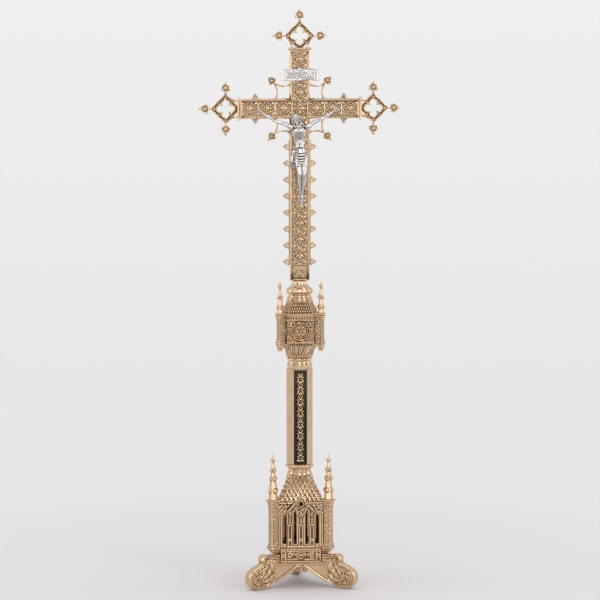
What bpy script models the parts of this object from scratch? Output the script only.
"""Gothic altar cross in cast brass, with a silvered corpus and title scroll.

All lengths below are millimetres and all angles degrees: the helpers turn them into Blender's metres
and radians. The object faces -Y and stands on Z = 0. Its base and knop have three sides, set round a
vertical axis. A piece of one side or one corner is drawn pointing along -Y and hangs from an empty that
turns it to its place. The cross stands on a square stud and lifts off it. Neighbouring pieces keep a
clearance of GAP.
"""

from math import cos, pi, radians, sin

import bmesh
import bpy
from mathutils import Matrix, Vector

MM = 0.001
GAP = 0.3

# Heights of the stack, from the floor up
FLOOR = 0.0
PLINTH_BOTTOM, PLINTH_TOP = 36.5, 54.8
BASE_WALL_TOP = 120.0
BASE_ROOF_TOP = 155.0
BASE_COLLAR_TOP = 164.5
SHAFT_BOTTOM, SHAFT_TOP = 170.0, 304.0
HEAD_COLLAR_TOP = 319.2
DRUM_BOTTOM, DRUM_TOP = 341.8, 373.0
KNOP_ROOF_TOP = 398.6
NECK_TOP = 426.0
CROSS_BOTTOM = NECK_TOP + 0.3
CROSSING = 663.0
CROSS_BAR_TOP = 743.0
TOTAL_HEIGHT = 800.0

# Plan of the base and the knop: a face's distance from the axis, and a corner pier's
BASE_FACE, BASE_PIER = 23.0, 44.5
BASE_PIER_WIDTH, BASE_PIER_DEPTH = 10.4, 10.0
KNOP_FACE, KNOP_PIER = 18.0, 32.6
KNOP_PIER_WIDTH, KNOP_PIER_DEPTH = 7.0, 7.4
SHAFT_FLAT = 15.8
ROD_RADIUS, ROD_HOLE = 4.0, 4.3

# The cross
BAR_HALF = 13.4
BAR_FRONT, BAR_BACK = -7.5, 7.5
BAR_RECESS, RIM = 1.2, 4.2
BAR_WALL = 1.8
BACK_PLATE = 1.5
ARM_END = 82.0
FINIAL_REACH = 19.3
STUD_WIDTH, STUD_DEPTH, STUD_TOP = 7.0, 6.0, 463.0
CROCKET_PITCH, CROCKET_LOWEST, CROCKETS = 22.67, 454.2, 8
ARM_CROCKET = 60.7
FRAME_HALF = 32.2

FACES = {"front": 0, "right": 120, "left": -120}
CORNERS = {"right": 60, "back": 180, "left": -60}

BRASS = ("brass", (0.78, 0.57, 0.33, 1.0), 0.25)
SILVER = ("silver", (0.85, 0.83, 0.81, 1.0), 0.18)
STEEL = ("steel", (0.50, 0.49, 0.47, 1.0), 0.35)


# ---------------------------------------------------------------- helpers


def clear_scene():
    for obj in list(bpy.data.objects):
        bpy.data.objects.remove(obj)


def collection(name, hidden=False):
    made = bpy.data.collections.new(name)
    bpy.context.scene.collection.children.link(made)
    made.hide_render = hidden
    return made


def metal(look):
    name, colour, roughness = look
    found = bpy.data.materials.get(name)
    if found:
        return found
    made = bpy.data.materials.new(name)
    made.use_nodes = True
    shader = made.node_tree.nodes["Principled BSDF"]
    shader.inputs["Base Color"].default_value = colour
    shader.inputs["Metallic"].default_value = 1.0
    shader.inputs["Roughness"].default_value = roughness
    return made


def place(obj, look, parent=None):
    """Puts the object in the cross's collection, with its metal."""
    PARTS.objects.link(obj)
    obj.data.materials.append(metal(look))
    obj.parent = parent or AXIS
    return obj


def spoke(angle):
    """An empty on the axis that turns what is drawn along -Y by angle."""
    empty = bpy.data.objects.new(f"spoke_{angle % 360}", None)
    PARTS.objects.link(empty)
    empty.parent = AXIS
    empty.rotation_euler.z = radians(angle)
    return empty


def mesh_object(name, bm, look, parent=None):
    bmesh.ops.recalc_face_normals(bm, faces=bm.faces)
    mesh = bpy.data.meshes.new(name)
    bm.to_mesh(mesh)
    bm.free()
    return place(bpy.data.objects.new(name, mesh), look, parent)


def stacked(name, rings, look, parent=None, hollow=False):
    """A solid through rings of points. A hollow one's rings run down the outside and back up the inside."""
    bm = bmesh.new()
    rows = [[bm.verts.new(Vector(p) * MM) for p in ring] for ring in rings]
    pairs = list(zip(rows, rows[1:])) + ([(rows[-1], rows[0])] if hollow else [])
    for upper, lower in pairs:
        for i in range(len(upper)):
            j = (i + 1) % len(upper)
            bm.faces.new((upper[i], upper[j], lower[j], lower[i]))
    if not hollow:
        bm.faces.new(rows[0])
        bm.faces.new(rows[-1])
    return mesh_object(name, bm, look, parent)


def three_sided(face, corner, height):
    """Six points: three faces at distance face from the axis, cut off at the corners at distance corner."""
    half = (corner - face * 0.5) / cos(radians(30))
    points = []
    for angle in FACES.values():
        turn = Matrix.Rotation(radians(angle), 3, "Z")
        points += [turn @ Vector((x, -face, height)) for x in (-half, half)]
    return sorted(points, key=lambda p: Vector((0, -1)).angle_signed(p.xy))


def rectangle(half_width, inner, outer, height):
    return [(-half_width, -outer, height), (half_width, -outer, height),
            (half_width, -inner, height), (-half_width, -inner, height)]


def turned(name, profile, look, steps=24, parent=None, at=(0, 0)):
    """A profile of (radius, height), down its outside, turned round the vertical line at (x, y)."""
    bm = bmesh.new()
    points = [bm.verts.new((r * MM, 0, z * MM)) for r, z in profile]
    for a, b in zip(points, points[1:] + points[:1]):
        if max(a.co.x, b.co.x) > 0:
            bm.edges.new((a, b))
    mesh = bpy.data.meshes.new(name)
    bm.to_mesh(mesh)
    bm.free()
    obj = place(bpy.data.objects.new(name, mesh), look, parent)
    obj.location = (at[0] * MM, at[1] * MM, 0)
    screw = obj.modifiers.new("turn", "SCREW")
    screw.steps = screw.render_steps = steps
    screw.use_merge_vertices = True
    screw.merge_threshold = 0.00001
    return obj


FACING = Matrix(((1, 0, 0), (0, 0, -1), (0, 1, 0))).to_4x4()  # drawn x, y become X, Z
RADIAL = Matrix(((0, 0, -1), (-1, 0, 0), (0, 1, 0))).to_4x4()  # drawn x, y become -Y, Z


def prism(name, loop, thickness):
    """A mesh of the loop's outline with the given thickness, in the plane of its local x and y."""
    bm = bmesh.new()
    ends = (-thickness / 2, thickness / 2)
    low, high = ([bm.verts.new((x * MM, y * MM, z * MM)) for x, y in loop] for z in ends)
    bm.faces.new(low)
    bm.faces.new(high)
    for i in range(len(loop)):
        j = (i + 1) % len(loop)
        bm.faces.new((low[i], low[j], high[j], high[i]))
    bmesh.ops.recalc_face_normals(bm, faces=bm.faces)
    mesh = bpy.data.meshes.new(name)
    bm.to_mesh(mesh)
    bm.free()
    return mesh


def pierced_curve(name, loops, thickness):
    """A filled curve with the given thickness, whose first loop is its outline and the others its holes."""
    curve = bpy.data.curves.new(name, "CURVE")
    curve.dimensions = "2D"
    curve.fill_mode = "BOTH"
    curve.extrude = thickness * MM / 2
    for loop in loops:
        spline = curve.splines.new("POLY")
        spline.points.add(len(loop) - 1)
        for point, (x, y) in zip(spline.points, loop):
            point.co = (x * MM, y * MM, 0, 1)
        spline.use_cyclic_u = True
    return curve


def flat(name, loops, thickness, look, parent=None, stand=FACING, offset=(0, 0, 0)):
    """A plate of the given thickness. The first loop is its outline and the others are its holes."""
    data = prism(name, loops[0], thickness) if len(loops) == 1 else pierced_curve(name, loops, thickness)
    obj = place(bpy.data.objects.new(name, data), look, parent)
    obj.matrix_local = Matrix.Translation(Vector(offset) * MM) @ stand
    return obj


def rod_between(name, points, radius, look, resolution=2):
    """A round bar along the points, with closed ends."""
    curve = bpy.data.curves.new(name, "CURVE")
    curve.dimensions = "3D"
    curve.bevel_depth = radius * MM
    curve.bevel_resolution = resolution
    curve.use_fill_caps = True
    spline = curve.splines.new("POLY")
    spline.points.add(len(points) - 1)
    for point, place_at in zip(spline.points, points):
        point.co = (*(Vector(place_at) * MM), 1)
    return place(bpy.data.objects.new(name, curve), look)


def block(name, low, high, look, parent=None):
    bm = bmesh.new()
    bmesh.ops.create_cube(bm, size=1)
    low, high = Vector(low) * MM, Vector(high) * MM
    for vert in bm.verts:
        vert.co = (low + high) / 2 + Vector(a * b for a, b in zip(vert.co, high - low))
    return mesh_object(name, bm, look, parent)


def as_mesh(obj):
    """The object as a plain mesh object, its modifiers applied and a curve's caps welded."""
    bpy.context.view_layer.update()
    graph = bpy.context.evaluated_depsgraph_get()
    mesh = bpy.data.meshes.new_from_object(obj.evaluated_get(graph))
    bm = bmesh.new()
    bm.from_mesh(mesh)
    bmesh.ops.remove_doubles(bm, verts=bm.verts, dist=0.000002)
    bmesh.ops.recalc_face_normals(bm, faces=bm.faces)
    bm.to_mesh(mesh)
    bm.free()
    name, world, parent = obj.name, obj.matrix_world.copy(), obj.parent
    bpy.data.objects.remove(obj)
    made = bpy.data.objects.new(name, mesh)
    PARTS.objects.link(made)
    made.parent = parent
    made.matrix_world = world
    return made


def combine(target, others, operation="UNION"):
    """Joins the others to target, or cuts them from it, and keeps one mesh."""
    target = as_mesh(target)
    for other in others:
        tool = as_mesh(other)
        boolean = target.modifiers.new("combine", "BOOLEAN")
        boolean.operation = operation
        boolean.object = tool
        PARTS.objects.unlink(tool)
        CUTTERS.objects.link(tool)
        tool.hide_render = True
        tool.display_type = "WIRE"
    target = as_mesh(target)
    for tool in list(CUTTERS.objects):
        bpy.data.objects.remove(tool)
    return target


def arc(centre, radius, start, end, steps):
    """Points on an arc, both ends included."""
    return [
        (centre[0] + radius * cos(radians(start + (end - start) * i / steps)),
         centre[1] + radius * sin(radians(start + (end - start) * i / steps)))
        for i in range(steps + 1)
    ]


def moved(points, dx=0.0, dy=0.0, turn=0.0):
    """Flat points turned by an angle about their origin, then moved."""
    c, s = cos(radians(turn)), sin(radians(turn))
    return [(x * c - y * s + dx, x * s + y * c + dy) for x, y in points]


def lancet(x, low, high, width):
    """A narrow window with a pointed head."""
    half = width / 2
    return [(x - half, low), (x + half, low), (x + half, high - width), (x, high), (x - half, high - width)]


# ---------------------------------------------------------------- the base


def foot_outline():
    """The scroll foot from the side: (distance from the axis, height)."""
    back = [(38.2, 46.0), (38.2, 34.2), (36.5, 33.6), (36.8, 26.0), (40.5, 15.0), (48.0, 5.6)]
    toe = [(60.0, FLOOR), (74.0, FLOOR), (83.0, 5.5), (87.5, 14.0), (86.5, 22.5), (80.5, 29.5), (71.5, 33.5)]
    volute = [(63.5, 36.0), (65.6, 40.5), (64.0, 46.0), (59.5, 48.3), (53.5, 47.5)]
    return back + toe + volute


def make_feet():
    for side, parent in CORNER_SPOKES.items():
        foot = flat(f"foot_{side}", [foot_outline()], 15.0, BRASS, parent, RADIAL)
        foot = as_mesh(foot)
        bevel = foot.modifiers.new("round", "BEVEL")
        bevel.width = 2.2 * MM
        bevel.segments = 2
        bevel.limit_method = "ANGLE"
        bevel.angle_limit = radians(60)


def make_aprons():
    """The skirt between two feet: two struts that rise to a pair of scrolls, and a drop between them."""
    half = [(31.0, PLINTH_BOTTOM - 2.0 - GAP), (31.0, 9.8), (23.3, 15.4), (14.0, 22.4), (9.0, 26.6),
            (7.2, 25.0),
            (5.0, 24.2), (3.0, 25.8), (2.2, 22.8)]
    outline = half + [(0.0, 20.5)] + [(-x, z) for x, z in reversed(half)]
    for side, parent in FACE_SPOKES.items():
        flat(f"apron_{side}", [outline], 3.4, BRASS, parent, FACING, (0, -(BASE_FACE + 5.8), 0))


def make_plinth():
    outer, base, inner = (26.2, 36.8), (27.6, 37.8), (22.7, 31.0)
    rings = [
        three_sided(*outer, PLINTH_TOP),
        three_sided(*outer, PLINTH_BOTTOM + 3.0),
        three_sided(*base, PLINTH_BOTTOM + 2.5),
        three_sided(*base, PLINTH_BOTTOM - 2.0),
        three_sided(*inner, PLINTH_BOTTOM - 2.0),
        three_sided(*inner, PLINTH_TOP),
    ]
    plinth = stacked("plinth", rings, BRASS, hollow=True)
    windows = []
    for parent in FACE_SPOKES.values():
        for x in (-8.3, 8.3):
            upper = [(x - 2.1, 49.0), (x + 2.1, 49.0), (x + 2.1, 53.0), (x - 2.1, 53.0)]
            lower = [(x - 2.8, 40.5), (x + 2.8, 40.5), (x + 0.8, 47.6), (x - 0.8, 47.6)]
            for shape in (upper, lower):
                windows.append(flat("window", [shape], 20.0, BRASS, parent, FACING, (0, -BASE_FACE, 0)))
    combine(plinth, windows, "DIFFERENCE")


def make_window_panels():
    """Each side wall, with four lancets, and in front of its middle a gabled bay with two of them."""
    low = PLINTH_TOP + GAP
    wall_half = 31.8
    bay_half, eaves, apex = 19.8, 107.5, 130.0
    bay_front, bay_back = BASE_FACE + 4.5, BASE_FACE - 0.5
    wall_top = BASE_WALL_TOP - GAP
    wall = [(-wall_half, low), (wall_half, low), (wall_half, wall_top), (-wall_half, wall_top)]
    bay = [(-bay_half, low), (bay_half, low), (bay_half, eaves), (0, apex), (-bay_half, eaves)]
    openings = [lancet(x, 61.0, 106.5, 3.6) for x in (-22.6, -8.3, 8.3, 22.6)]
    openings.append([(0, 114.0), (3.4, 117.5), (0, 121.0), (-3.4, 117.5)])
    for side, parent in FACE_SPOKES.items():
        panel = flat(f"window_panel_{side}", [wall], 3.0, BRASS, parent, FACING, (0, -(BASE_FACE - 1.5), 0))
        middle = (0, -(bay_front + bay_back) / 2, 0)
        front = flat("bay", [bay], bay_front - bay_back, BRASS, parent, FACING, middle)
        cuts = [flat("opening", [loop], 30.0, BRASS, parent, FACING, (0, -BASE_FACE, 0)) for loop in openings]
        # The bay above the wall stands clear of the roof behind it.
        cuts.append(block("clearance", (-25, -(BASE_FACE + GAP), wall_top), (25, 0, 140), BRASS, parent))
        combine(combine(panel, [front]), cuts, "DIFFERENCE")


def make_base_piers():
    half, inner, outer = BASE_PIER_WIDTH / 2, BASE_PIER - BASE_PIER_DEPTH / 2, BASE_PIER + BASE_PIER_DEPTH / 2
    cap, foot = 2.6, 2.4
    sections = [
        (half + cap, inner, outer + cap, BASE_WALL_TOP + 0.4),
        (half + cap, inner, outer + cap, 117.5),
        (half, inner, outer, 113.0),
        (half, inner, outer, 63.4),
        (half + foot, inner, outer + foot, 61.0),
        (half + foot, inner, outer + foot, 58.4),
        (half - 1.0, inner, outer - 3.0, PLINTH_TOP + GAP),
    ]
    for side, parent in CORNER_SPOKES.items():
        stacked(f"base_pier_{side}", [rectangle(*s) for s in sections], BRASS, parent)


def pinnacle_profile(base, top, width, levels):
    """A crocketed spire: a block, then beads at the given shares of its height, then a crown and a tip."""
    height = top - base
    body = width * 0.62
    profile = [(0.0, top), (0.6, top - 0.02 * height)]
    crown = [(1.0, 0.90), (width * 0.50, 0.88), (width * 0.42, 0.83), (width * 0.20, 0.78)]
    profile += [(radius, base + share * height) for radius, share in crown]
    for share in reversed(levels):
        thick = body * (1.0 - 0.62 * share)
        bead = width * (0.86 - 0.45 * share)
        middle = base + share * height
        profile += [(thick * 0.9, middle + 0.05 * height), (bead, middle + 0.02 * height),
                    (bead, middle - 0.02 * height), (thick, middle - 0.05 * height)]
    return profile + [(body, base + 0.14 * height), (body, base), (0.0, base)]


def make_pinnacles(group, parent_radius, base, top, width, levels):
    for side, parent in CORNER_SPOKES.items():
        profile = pinnacle_profile(base, top, width, levels)
        turned(f"{group}_pinnacle_{side}", profile, BRASS, 8, parent, (0, -parent_radius))


def make_base_roof():
    """A hollow three-sided roof whose faces curve in as they rise."""
    low, high, steps = BASE_WALL_TOP + GAP, BASE_ROOF_TOP, 7
    wall = 2.2
    rings = []
    for i in range(steps + 1):
        t = 1 - i / steps
        flare = (1 - t) ** 1.45
        face, corner = 14.6 + 8.0 * flare, 16.6 + 20.0 * flare
        rings.append(three_sided(face, corner, low + (high - low) * t))
    inner = [three_sided(22.6 - wall, 36.6 - wall, low), three_sided(17.2, 22.0, low + 12.0),
             three_sided(12.0, 12.6, high - 2.0), three_sided(5.0, 5.0, high - 2.0),
             three_sided(5.0, 5.0, high)]
    stacked("base_roof", rings + inner, BRASS, hollow=True)


def make_rod():
    """The rod that holds the stack together, and its nut and washer under a plate at the foot of the base."""
    plate_low = PLINTH_TOP + GAP
    rings = [three_sided(19.6, 35.0, plate_low + 3.0), three_sided(19.6, 35.0, plate_low),
             three_sided(5.0, 5.0, plate_low), three_sided(5.0, 5.0, plate_low + 3.0)]
    stacked("rod_plate", rings, BRASS, hollow=True)
    turned("tie_rod", [(0.0, 414.0), (ROD_RADIUS, 414.0), (ROD_RADIUS, 42.0), (0.0, 42.0)], STEEL, 12)
    washer_top = plate_low - GAP
    turned("rod_washer", [(9.0, washer_top), (9.0, washer_top - 1.5), (ROD_HOLE, washer_top - 1.5),
                          (ROD_HOLE, washer_top)], STEEL, 16)
    nut_top = washer_top - 1.5 - GAP
    bore = ROD_HOLE / cos(radians(30)) + 0.1
    turned("rod_nut", [(7.5, nut_top), (7.5, nut_top - 6.0), (bore, nut_top - 6.0),
    (bore, nut_top)], STEEL, 6)


def make_base_collar():
    low, high = BASE_ROOF_TOP + GAP, BASE_COLLAR_TOP
    profile = [(15.6, high), (16.0, high - 2.0), (15.2, high - 3.6), (16.8, high - 6.0), (17.6, low + 1.6),
               (17.2, low), (ROD_HOLE, low), (ROD_HOLE, high)]
    turned("base_collar", profile, BRASS)


# ---------------------------------------------------------------- the shaft


def make_shaft():
    low = BASE_COLLAR_TOP + GAP
    plate = [three_sided(16.6, 16.6, SHAFT_BOTTOM - GAP), three_sided(17.8, 17.8, SHAFT_BOTTOM - 1.8),
             three_sided(17.8, 17.8, SHAFT_BOTTOM - 3.4), three_sided(15.8, 15.8, low),
             three_sided(5.0, 5.0, low), three_sided(5.0, 5.0, SHAFT_BOTTOM - GAP)]
    stacked("shaft_foot_plate", plate, BRASS, hollow=True)
    wall = 2.0
    tube = [three_sided(SHAFT_FLAT, SHAFT_FLAT, SHAFT_TOP), three_sided(SHAFT_FLAT, SHAFT_FLAT, SHAFT_BOTTOM),
            three_sided(SHAFT_FLAT - wall, SHAFT_FLAT - wall, SHAFT_BOTTOM),
            three_sided(SHAFT_FLAT - wall, SHAFT_FLAT - wall, SHAFT_TOP)]
    stacked("shaft", tube, BRASS, hollow=True)
    low, high = SHAFT_TOP + GAP, HEAD_COLLAR_TOP
    turning = [(16.4, 0.0), (17.6, 1.2), (17.6, 2.6), (16.0, 3.8), (15.6, 5.6), (16.4, 7.2), (16.2, 8.6),
               (17.8, 10.0), (18.0, 11.4)]
    profile = [(radius, high - drop) for radius, drop in turning]
    profile += [(17.2, low), (ROD_HOLE, low), (ROD_HOLE, high)]
    turned("shaft_head_collar", profile, BRASS)


# ---------------------------------------------------------------- the knop


def make_knop():
    corner = KNOP_PIER - KNOP_PIER_DEPTH / 2 - GAP
    low, high = HEAD_COLLAR_TOP + GAP, DRUM_BOTTOM - GAP
    bowl = [three_sided(19.6, corner, high), three_sided(19.6, corner, high - 2.4)]
    courses = ((18.0, 24.0, 337.8), (16.6, 20.5, 332.0), (15.4, 17.4, 325.6), (15.2, 15.8, low))
    for face, reach, height in courses:
        bowl.append(three_sided(face, reach, height))
    bowl += [three_sided(5.0, 5.0, low), three_sided(5.0, 5.0, high)]
    stacked("knop_bowl", bowl, BRASS, hollow=True)
    wall = 2.4
    outer, inner = (KNOP_FACE, corner), (KNOP_FACE - wall, corner - wall)
    drum = [three_sided(*outer, DRUM_TOP), three_sided(*outer, DRUM_BOTTOM),
            three_sided(*inner, DRUM_BOTTOM), three_sided(*inner, DRUM_TOP)]
    stacked("knop_drum", drum, BRASS, hollow=True)
    low = DRUM_TOP + GAP
    roof = [three_sided(15.2, 16.4, KNOP_ROOF_TOP)]
    for face, reach, height in ((15.9, 18.6, 392.8), (16.9, 21.6, 386.4), (18.0, 24.6, 380.0),
                                (20.4, corner, 379.4), (19.6, corner, 376.0), (18.6, corner, low)):
        roof.append(three_sided(face, reach, height))
    roof += [three_sided(5.0, 5.0, low), three_sided(5.0, 5.0, KNOP_ROOF_TOP)]
    stacked("knop_roof", roof, BRASS, hollow=True)


def make_medallions():
    radius, thickness, height = 13.6, 2.6, 357.5
    ring = arc((0, height), radius, 0, 345, 23)
    for side, parent in FACE_SPOKES.items():
        flat(f"knop_medallion_{side}", [ring], thickness, BRASS, parent, FACING,
             (0, -(KNOP_FACE + GAP + thickness / 2), 0))


def make_knop_piers():
    half, inner, outer = KNOP_PIER_WIDTH / 2, KNOP_PIER - KNOP_PIER_DEPTH / 2, KNOP_PIER + KNOP_PIER_DEPTH / 2
    sections = [
        (half + 2.0, inner, outer + 2.0, 379.7), (half + 2.0, inner, outer + 2.0, 377.0),
        (half, inner, outer, 372.5),
        (half, inner, outer, 346.0), (half + 2.2, inner, outer + 2.2, 343.0),
        (half + 2.2, inner, outer + 2.2, 340.6),
        (half, inner, outer - 0.4, 335.5), (1.4, KNOP_PIER - 2.4, KNOP_PIER + 1.4, 330.0),
    ]
    for side, parent in CORNER_SPOKES.items():
        stacked(f"knop_pier_{side}", [rectangle(*s) for s in sections], BRASS, parent)


def make_neck():
    low, high = KNOP_ROOF_TOP + GAP, NECK_TOP
    trumpet = [(9.4, high), (9.8, 423.5), (11.4, 420.0), (14.4, 416.6), (17.2, 414.6), (18.3, 413.4)]
    ring = [(18.3, 409.4), (17.2, 408.2), (15.6, 407.2), (15.4, 405.2), (15.8, 404.0)]
    profile = trumpet + ring + [(16.6, 402.0), (18.0, 400.4), (18.2, low), (ROD_HOLE, low), (ROD_HOLE, high)]
    turned("neck", profile, BRASS)


# ---------------------------------------------------------------- the cross


def cross_outline(inset, low):
    """The Latin cross of the bars, drawn inset from their edges."""
    half, arm, top = BAR_HALF - inset, ARM_END - GAP - inset, CROSS_BAR_TOP - GAP - inset
    right = [(half, low), (half, CROSSING - half), (arm, CROSSING - half), (arm, CROSSING + half),
             (half, CROSSING + half), (half, top)]
    return right + [(-x, z) for x, z in reversed(right)]


def make_cross_body():
    """The cross's front and sides, cast as one channel that is open at the back and at its foot."""
    back = BAR_BACK - BACK_PLATE - GAP
    recess_floor = BAR_FRONT + BAR_RECESS
    cavity_front = recess_floor + BAR_WALL
    body = flat("cross_body", [cross_outline(0, CROSS_BOTTOM)], back - BAR_FRONT, BRASS, None, FACING,
                (0, (back + BAR_FRONT) / 2, 0))
    recess = flat("recess", [cross_outline(RIM, CROSS_BOTTOM + 12.0)], 10.0, BRASS, None, FACING,
                  (0, recess_floor - 5.0, 0))
    cavity = flat("cavity", [cross_outline(BAR_WALL, CROSS_BOTTOM - 10.0)], 30.0, BRASS, None, FACING,
                  (0, cavity_front + 15.0, 0))
    mouth = arc((0, CROSS_BOTTOM), 7.0, 0, 180, 10) + [(-7.0, CROSS_BOTTOM - 5), (7.0, CROSS_BOTTOM - 5)]
    arch = flat("arch", [mouth], 20.0, BRASS, None, FACING, (0, BAR_FRONT, 0))
    holes = [nail_hole(x, z) for x, z in NAILS.values()]
    combine(body, [recess, cavity, arch, *holes], "DIFFERENCE")
    outline = cross_outline(0.6, CROSS_BOTTOM + 0.6)
    flat("cross_back_plate", [outline], BACK_PLATE, BRASS, None, FACING, (0, BAR_BACK - BACK_PLATE / 2, 0))


def make_stud():
    """The square stud on the neck that the cross stands on, and its socket inside the bar."""
    shank = turned("cross_stud", [(0.0, 430.0), (3.6, 430.0), (3.6, 415.0), (0.0, 415.0)], STEEL, 12)
    square = block("square", (-STUD_WIDTH / 2, -STUD_DEPTH / 2, NECK_TOP + GAP),
                   (STUD_WIDTH / 2, STUD_DEPTH / 2, STUD_TOP), STEEL)
    combine(shank, [square])
    front = BAR_FRONT + BAR_RECESS + BAR_WALL + GAP
    back = BAR_BACK - BACK_PLATE - 2 * GAP
    low, half = CROSS_BOTTOM + 9.0, BAR_HALF - BAR_WALL - GAP
    top = STUD_TOP + 4.0
    socket = block("stud_socket", (-half, front, low), (half, back, top), BRASS)
    hole = block("hole", (-STUD_WIDTH / 2 - GAP, -STUD_DEPTH / 2 - GAP, low - 5),
                 (STUD_WIDTH / 2 + GAP, STUD_DEPTH / 2 + GAP, STUD_TOP + GAP), BRASS)
    combine(socket, [hole], "DIFFERENCE")


def leaf_bud():
    """A pointed leaf on a short stem, drawn from its stem along +x."""
    upper = [(0.0, 1.3), (2.8, 1.4), (3.8, 4.4), (6.6, 6.0), (10.0, 5.2), (12.8, 3.0), (16.2, 1.2)]
    return upper + [(17.8, 0.0)] + [(x, -y) for x, y in reversed(upper)]


def quatrefoil(centre, lobe, spread, steps=6):
    """Four round lobes that meet, as one loop."""
    loop = []
    for turn in (0, 90, 180, 270):
        middle = moved([(spread, 0)], *centre, turn)[0]
        loop += arc(middle, lobe, turn - 120, turn + 120, steps)
    return loop


def finial_loops():
    """The pierced end of an arm, drawn with the arm's end at x = 0 and pointing along +x."""
    centre = FINIAL_REACH
    tip, side = centre + 20.5, 20.5
    root = 3.0
    half = [(root, 11.6), (root + 3.2, 11.8), (root + 8.0, 14.0), (centre - 2.2, side - 3.0), (centre, side),
            (centre + 2.2, side - 3.2), (centre + 6.0, 14.0), (centre + 10.6, 11.0), (centre + 14.0, 6.2),
            (centre + 17.6, 2.2)]
    outline = half + [(tip, 0.0)] + [(x, -y) for x, y in reversed(half)]
    pierced = quatrefoil((centre, 0), 4.9, 7.0)
    gap = [(root + 1.0, 9.4), (root + 3.6, 9.6), (root + 6.6, 10.6), (root + 5.8, 8.2), (root + 2.4, 6.4),
           (root + 1.0, 6.0)]
    return [outline, pierced, gap, [(x, -y) for x, y in gap]]


def make_finial(name, stand_at, turn):
    """A finial casting: its end plate, the pierced frame and three leaf buds."""
    place_at = Matrix.Translation(Vector(stand_at) * MM) @ Matrix.Rotation(radians(-turn), 4, "Y") @ FACING
    loops = finial_loops()
    frame = flat(name, loops, 5.0, BRASS, None, place_at)
    pieces = [flat("plate", [[(0, -16.5), (3.3, -16.5), (3.3, 16.5),
              (0, 16.5)]], 17.0, BRASS, None, place_at)]
    reach = FINIAL_REACH
    for x, y, angle in ((reach + 19.9, 0.0, 0), (reach, 19.9, 90), (reach, -19.9, -90)):
        pieces.append(flat("bud", [moved(leaf_bud(), x, y, angle)], 4.0, BRASS, None, place_at))
    combine(frame, pieces)


def make_crockets():
    """Strips of small three-lobed leaves: one down each side of the shaft of the cross, four on its arms."""
    leaf = [(0.0, 4.6), (1.6, 4.5), (2.6, 3.2), (3.6, 1.9), (5.6, 1.6), (7.2, 0.9), (9.2, 1.1),
            (9.9, 0.0), (9.2, -1.1), (7.2, -0.9), (5.6, -1.6), (3.6, -1.9), (2.6, -3.2), (1.6, -4.5),
            (0.0, -4.6)]
    rail = 1.0
    edge = BAR_HALF + GAP
    low, high = CROCKET_LOWEST - 7.0, CROCKET_LOWEST + CROCKET_PITCH * (CROCKETS - 1) + 7.0
    outline = [(edge, high), (edge, low), (edge + rail, low)]
    for i in range(CROCKETS):
        outline += [(edge + rail + x, CROCKET_LOWEST + i * CROCKET_PITCH - z) for x, z in leaf]
    outline.append((edge + rail, high))
    flat("crocket_strip_right", [outline], 4.0, BRASS)
    flat("crocket_strip_left", [[(-x, z) for x, z in outline]], 4.0, BRASS)
    for side, sign in (("right", 1), ("left", -1)):
        for level, turn in (("upper", 90), ("lower", -90)):
            height = CROSSING + (BAR_HALF + GAP) * (1 if turn > 0 else -1)
            flat(f"arm_crocket_{level}_{side}", [moved(leaf, sign * ARM_CROCKET, height, turn)], 4.0, BRASS)


def bracket_outline():
    """The upper right corner of the open square round the crossing: two bowed struts and a leaf bud."""
    near, corner, bar, half, steps = FRAME_HALF + 2.4, FRAME_HALF, BAR_HALF + GAP, 1.2, 5
    inner, outer = [], []
    for i in range(steps + 1):
        t = i / steps
        height = bar + (corner - bar) * t
        x = near + (corner - near) * t - 2.2 * sin(pi * t)
        inner.append((x - half, min(height, corner - half)))
        outer.append((x + half, height))
    bud = moved(leaf_bud(), corner - 0.6, corner - 0.6, 45)[1:-1]
    upright = outer[:-1] + list(reversed(bud))
    mirrored = [(z, x) for x, z in reversed(outer[:-1])] + [(z, x) for x, z in inner[:-1]]
    return upright + mirrored + list(reversed(inner))


def make_corner_brackets():
    outline = bracket_outline()
    for side, sx in (("right", 1), ("left", -1)):
        for level, sz in (("upper", 1), ("lower", -1)):
            loop = [(sx * x, CROSSING + sz * z) for x, z in outline]
            flat(f"corner_bracket_{level}_{side}", [loop], 2.8, BRASS)


# ---------------------------------------------------------------- the silvered figure and title

# Where the three nails go, as (x, z), and how far in front of the bar their heads stand
NAILS = {"left_hand": (-54.0, 659.8), "right_hand": (48.4, 661.6), "feet": (1.4, 536.4)}
NAIL_RADIUS = 0.8
CORPUS_BACK = BAR_FRONT - GAP


def nail_hole(x, z):
    return rod_between("hole", [(x, -30, z), (x, 0, z)], NAIL_RADIUS + GAP, BRASS)


def limb(bm, start, end, r0, r1):
    """A tapering limb with round ends."""
    start, end = Vector(start), Vector(end)
    for centre, radius in ((start, r0), (end, r1)):
        ball = bmesh.ops.create_uvsphere(bm, u_segments=12, v_segments=8, radius=radius * MM)
        bmesh.ops.translate(bm, verts=ball["verts"], vec=centre * MM)
    along = end - start
    turn = along.to_track_quat("Z", "Y").to_matrix().to_4x4()
    bmesh.ops.create_cone(bm, cap_ends=True, segments=12, radius1=r0 * MM, radius2=r1 * MM,
                          depth=along.length * MM,
                          matrix=Matrix.Translation((start + end) / 2 * MM) @ turn)


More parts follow.
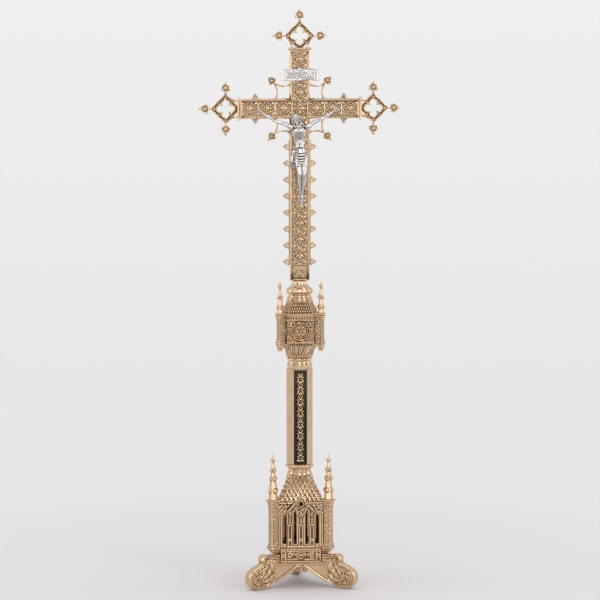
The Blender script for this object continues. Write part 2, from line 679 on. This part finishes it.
def make_corpus():
    """The figure, as limbs and a trunk that grow together."""
    bm = bmesh.new()
    limb(bm, (-54.5, -10.0, 659.8), (-48.0, -10.6, 655.4), 2.0, 2.1)
    limb(bm, (-48.0, -10.6, 655.4), (-36.0, -11.4, 647.6), 2.0, 2.7)
    limb(bm, (-36.0, -11.4, 647.6), (-14.0, -13.0, 640.4), 2.7, 3.6)
    limb(bm, (48.9, -10.0, 661.6), (41.5, -10.6, 656.4), 2.0, 2.1)
    limb(bm, (41.5, -10.6, 656.4), (27.5, -11.4, 649.4), 2.0, 2.7)
    limb(bm, (27.5, -11.4, 649.4), (9.8, -13.0, 640.6), 2.7, 3.6)
    limb(bm, (-6.4, -18.0, 652.0), (-5.0, -18.0, 646.6), 7.2, 5.2)
    limb(bm, (-4.0, -15.0, 645.0), (-2.4, -13.6, 636.0), 4.0, 4.4)
    limb(bm, (-8.0, -14.4, 631.0), (4.6, -14.4, 631.4), 6.6, 6.6)
    limb(bm, (-2.0, -14.4, 630.0), (0.6, -14.0, 608.0), 6.8, 6.2)
    limb(bm, (-3.0, -14.4, 602.0), (5.0, -14.4, 602.0), 6.4, 6.4)
    limb(bm, (-2.0, -14.6, 600.0), (-0.6, -20.4, 573.5), 6.4, 4.6)
    limb(bm, (5.0, -14.6, 600.0), (4.6, -21.0, 573.5), 6.4, 4.6)
    limb(bm, (-0.6, -20.4, 573.5), (0.6, -12.6, 549.0), 4.4, 2.9)
    limb(bm, (4.6, -21.0, 573.5), (2.4, -13.4, 549.0), 4.4, 2.9)
    limb(bm, (1.4, -12.6, 549.0), (1.4, -11.8, 534.0), 3.0, 2.6)
    corpus = mesh_object("corpus", bm, SILVER)
    remesh = corpus.modifiers.new("grow together", "REMESH")
    remesh.mode = "VOXEL"
    remesh.voxel_size = 1.0 * MM
    thin = corpus.modifiers.new("thin", "DECIMATE")
    thin.ratio = 0.1
    combine(corpus, [nail_hole(x, z) for x, z in NAILS.values()], "DIFFERENCE")


def make_nails():
    heads = {"left_hand": -13.4, "right_hand": -13.4, "feet": -16.4}
    for name, (x, z) in NAILS.items():
        front, tip = heads[name], BAR_FRONT + BAR_RECESS + BAR_WALL - 0.2
        shank = [(NAIL_RADIUS, -0.9), (NAIL_RADIUS, front - tip), (0.0, front - tip)]
        profile = [(0.0, 0.0), (1.3, -0.3), (1.7, -0.9), *shank]
        nail = turned(f"nail_{name}", profile, SILVER, 10)
        spot = Matrix.Translation(Vector((x, front, z)) * MM)
        nail.matrix_local = spot @ Matrix.Rotation(radians(90), 4, "X")


def make_titulus():
    """The title scroll: a waved ribbon with rolled ends."""
    middle, thickness = 709.8, 2.2
    half = [(0, 11.2), (9, 11.4), (17, 10.6), (20, 11.8), (26.5, 9.0), (28.0, 4.0), (27.0, -1.0),
            (27.8, -6.0),
            (24.0, -10.4),
            (18.5, -11.4), (15.0, -9.8), (8, -10.2), (0, -10.4)]
    outline = half + [(-x, z) for x, z in reversed(half[1:-1])]
    flat("titulus", [moved(outline, 0.0, middle)], thickness, SILVER, None, FACING,
         (0, BAR_FRONT - GAP - thickness / 2, 0))


# ---------------------------------------------------------------- the whole


def make_all():
    make_feet()
    make_aprons()
    make_plinth()
    make_window_panels()
    make_base_piers()
    make_pinnacles("base", BASE_PIER, BASE_WALL_TOP + 0.4 + GAP, 188.0, 9.0, (0.25, 0.47, 0.66))
    make_base_roof()
    make_base_collar()
    make_rod()
    make_shaft()
    make_knop()
    make_medallions()
    make_knop_piers()
    make_pinnacles("knop", KNOP_PIER, 379.7 + GAP, 427.0, 6.6, (0.24, 0.52))
    make_neck()
    make_stud()
    make_cross_body()
    make_finial("finial_top", (0, 0, CROSS_BAR_TOP), 90)
    make_finial("finial_right", (ARM_END, 0, CROSSING), 0)
    make_finial("finial_left", (-ARM_END, 0, CROSSING), 180)
    make_crockets()
    make_corner_brackets()
    make_corpus()
    make_nails()
    make_titulus()


def centre_on_floor():
    """Moves the axis so that the origin is below the middle of the whole object's box."""
    bpy.context.view_layer.update()
    graph = bpy.context.evaluated_depsgraph_get()
    depths = []
    for obj in PARTS.objects:
        if obj.type == "EMPTY":
            continue
        shown = obj.evaluated_get(graph)
        mesh = shown.to_mesh()
        depths += [(shown.matrix_world @ v.co).y for v in mesh.vertices]
        shown.to_mesh_clear()
    AXIS.location.y = -(min(depths) + max(depths)) / 2


clear_scene()
PARTS = collection("altar_cross")
CUTTERS = collection("cutters", hidden=True)
AXIS = bpy.data.objects.new("axis", None)
PARTS.objects.link(AXIS)
FACE_SPOKES = {side: spoke(angle) for side, angle in FACES.items()}
CORNER_SPOKES = {side: spoke(angle) for side, angle in CORNERS.items()}
make_all()
centre_on_floor()
